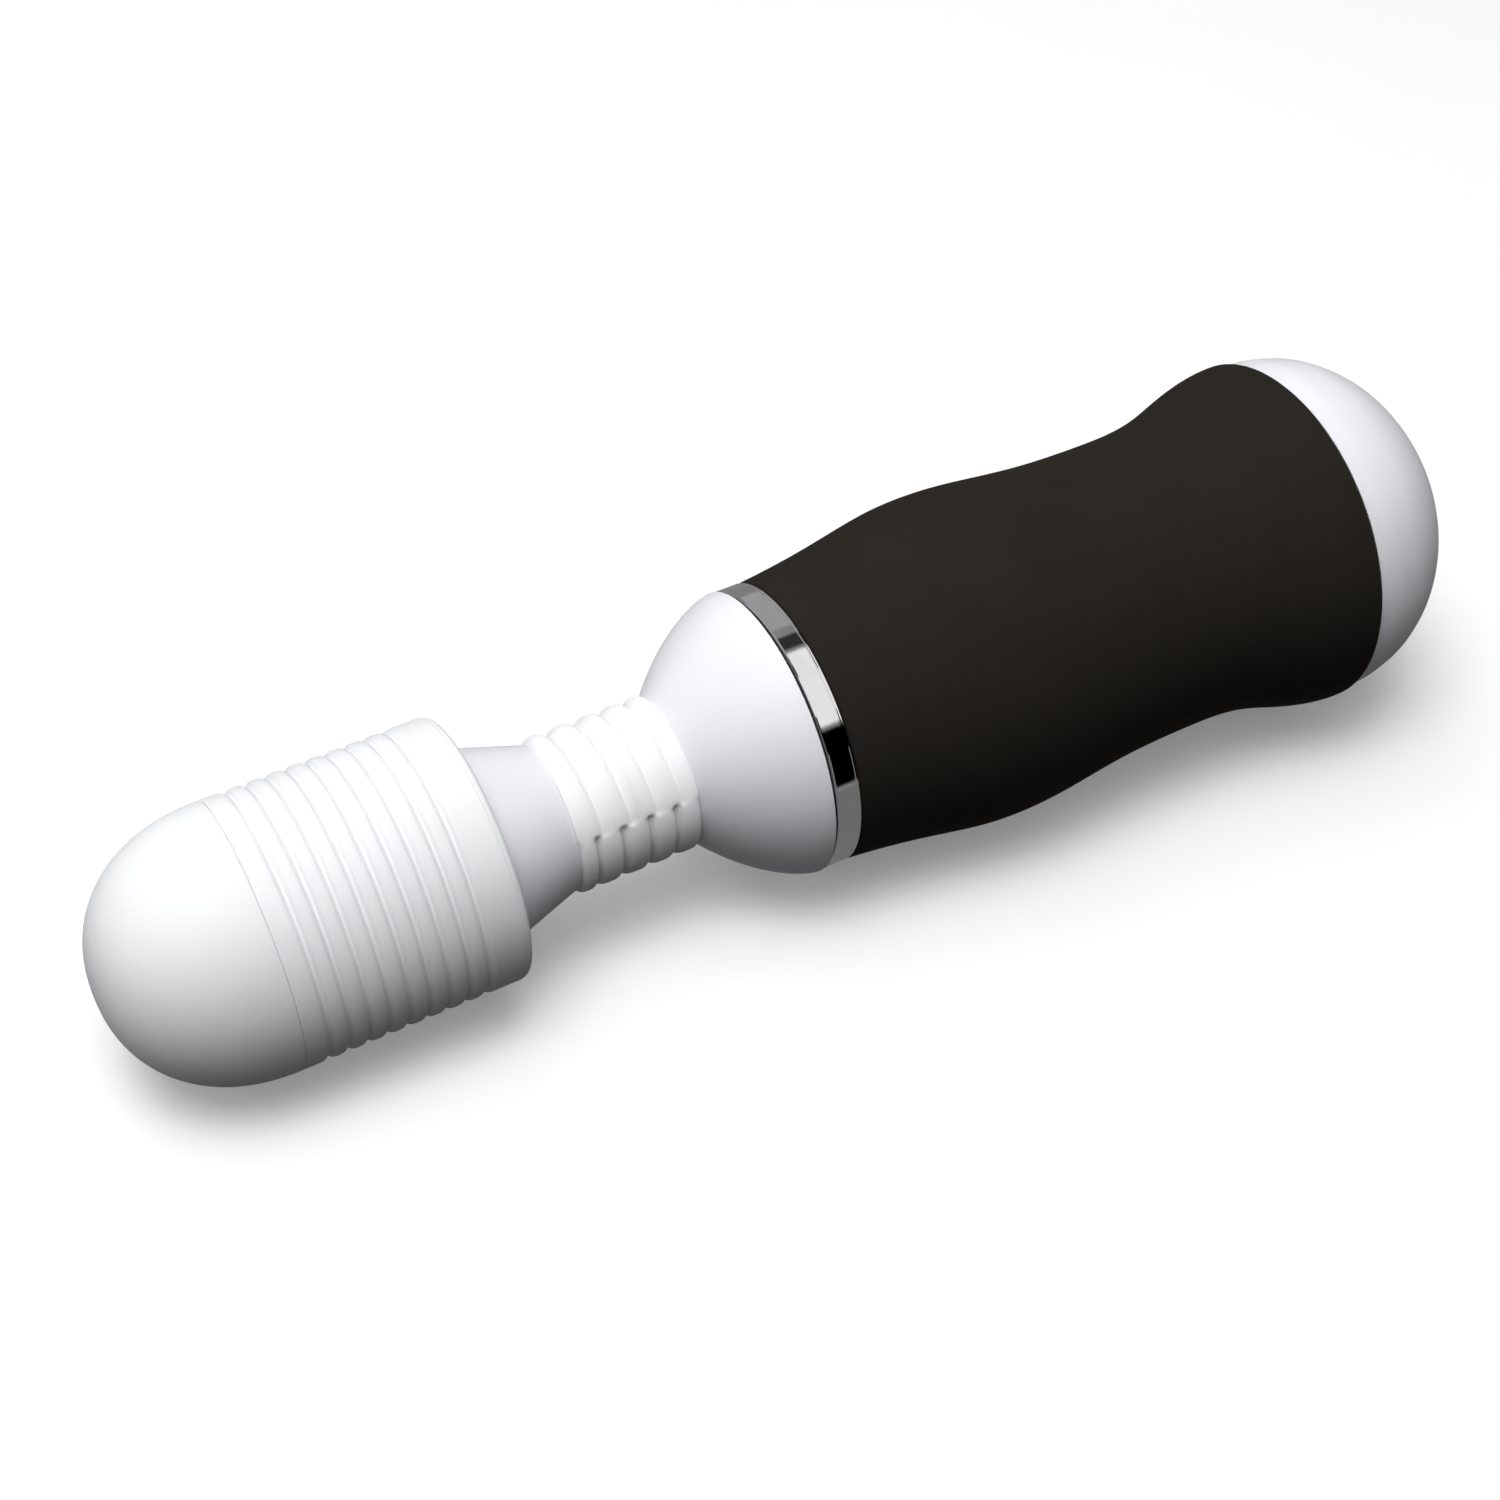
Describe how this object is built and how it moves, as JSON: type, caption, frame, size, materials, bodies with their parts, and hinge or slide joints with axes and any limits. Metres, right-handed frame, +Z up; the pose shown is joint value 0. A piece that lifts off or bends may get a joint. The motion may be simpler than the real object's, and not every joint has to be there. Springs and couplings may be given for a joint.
{
  "type": "wand massager",
  "caption": "Cordless hand-held wand massager: ribbed soft head on a sprung bellows neck, rounded collar with a bright ring, contoured dark grip and a round tail dial.",
  "frame": {"origin": "centre of the bounding box's base, on the surface the wand lies on", "axes": "+X towards the tail, +Z up; the wand's own axis leans 2.72 degrees nose-down because it lies on its head's rim and on the grip's front swell"},
  "size_m": [0.2092, 0.0532, 0.0534],
  "materials": {
    "head_silicone": "satin white silicone",
    "neck_silicone": "satin white silicone",
    "white_gloss": "gloss white",
    "white_satin": "satin white",
    "chrome": "mirror plated",
    "grip_rubber": "matt near-black soft touch",
    "shell_plastic": "grained grey",
    "inner_black": "satin black",
    "motor_steel": "zinc plated",
    "magnet_grey": "dull sintered",
    "spring_steel": "bright wire",
    "screw_steel": "black zinc",
    "copper": "lacquered copper",
    "brass": "machined",
    "board_green": "solder mask",
    "cell_wrap": "printed-film wrap, plain",
    "mount_rubber": "matt black",
    "lead_jacket": "soft insulation"
  },
  "bodies": {
    "handle": {"front_dome": "white_gloss", "ring_gasket": "mount_rubber", "chrome_ring": "chrome", "grip_sleeve": "grip_rubber", "handle_shell_left": "shell_plastic", "handle_shell_right": "shell_plastic", "handle_screws": "screw_steel", "control_board": "board_green", "board_parts": "inner_black", "battery_carrier": "inner_black", "battery_cells": "cell_wrap", "contact_springs": "spring_steel", "contact_plates": "brass", "spring_seat_rear": "inner_black", "leads_handle": "lead_jacket"},
    "neck_mid": {"neck_guide": "inner_black", "neck_bellows": "neck_silicone", "neck_spring": "spring_steel", "leads_neck": "lead_jacket"},
    "head": {"head_dome": "head_silicone", "ribbed_sleeve": "head_silicone", "head_core_front": "shell_plastic", "head_core_rear": "white_satin", "motor_can": "motor_steel", "motor_magnets": "magnet_grey", "motor_endcap": "inner_black", "motor_mounts": "mount_rubber", "neck_cone": "white_satin", "cone_screws": "screw_steel", "leads_head": "lead_jacket", "spring_seat_front": "inner_black"},
    "rotor": {"motor_shaft": "motor_steel", "armature": "magnet_grey", "windings": "copper", "commutator": "copper", "eccentric_weight": "brass"},
    "cap": {"cap_base": "white_satin", "seal_ring": "mount_rubber", "cap_contacts": "brass", "switch_body": "inner_black", "switch_screws": "screw_steel"},
    "dial": {"tail_dial": "white_gloss", "switch_shaft": "white_satin"}
  },
  "joints": [
    {"name": "neck_pitch", "type": "hinge", "parent": "handle", "child": "neck_mid", "pos_m": [-0.02637, 0, 0.02167], "axis": [0, 1, 0], "range_deg": [-25, 25], "stiffness_Nm_per_rad": 1.5, "deforming": ["neck_bellows", "neck_spring", "leads_neck"]},
    {"name": "neck_yaw", "type": "hinge", "parent": "neck_mid", "child": "head", "pos_m": [-0.03436, 0, 0.02129], "axis": [-0.0475, 0, 0.9989], "range_deg": [-25, 25], "stiffness_Nm_per_rad": 1.5, "deforming": ["neck_bellows", "neck_spring", "leads_neck"]},
    {"name": "motor_spin", "type": "hinge", "parent": "head", "child": "rotor", "pos_m": [-0.07731, 0, 0.01925], "axis": [0.9989, 0, 0.0475], "continuous": true},
    {"name": "cap_pull", "type": "slide", "parent": "handle", "child": "cap", "axis": [0.9989, 0, 0.0475], "range_m": [0, 0.03]},
    {"name": "dial_turn", "type": "hinge", "parent": "cap", "child": "dial", "pos_m": [0.0895, 0, 0.02718], "axis": [0.9989, 0, 0.0475], "range_deg": [0, 270]}
  ]
}
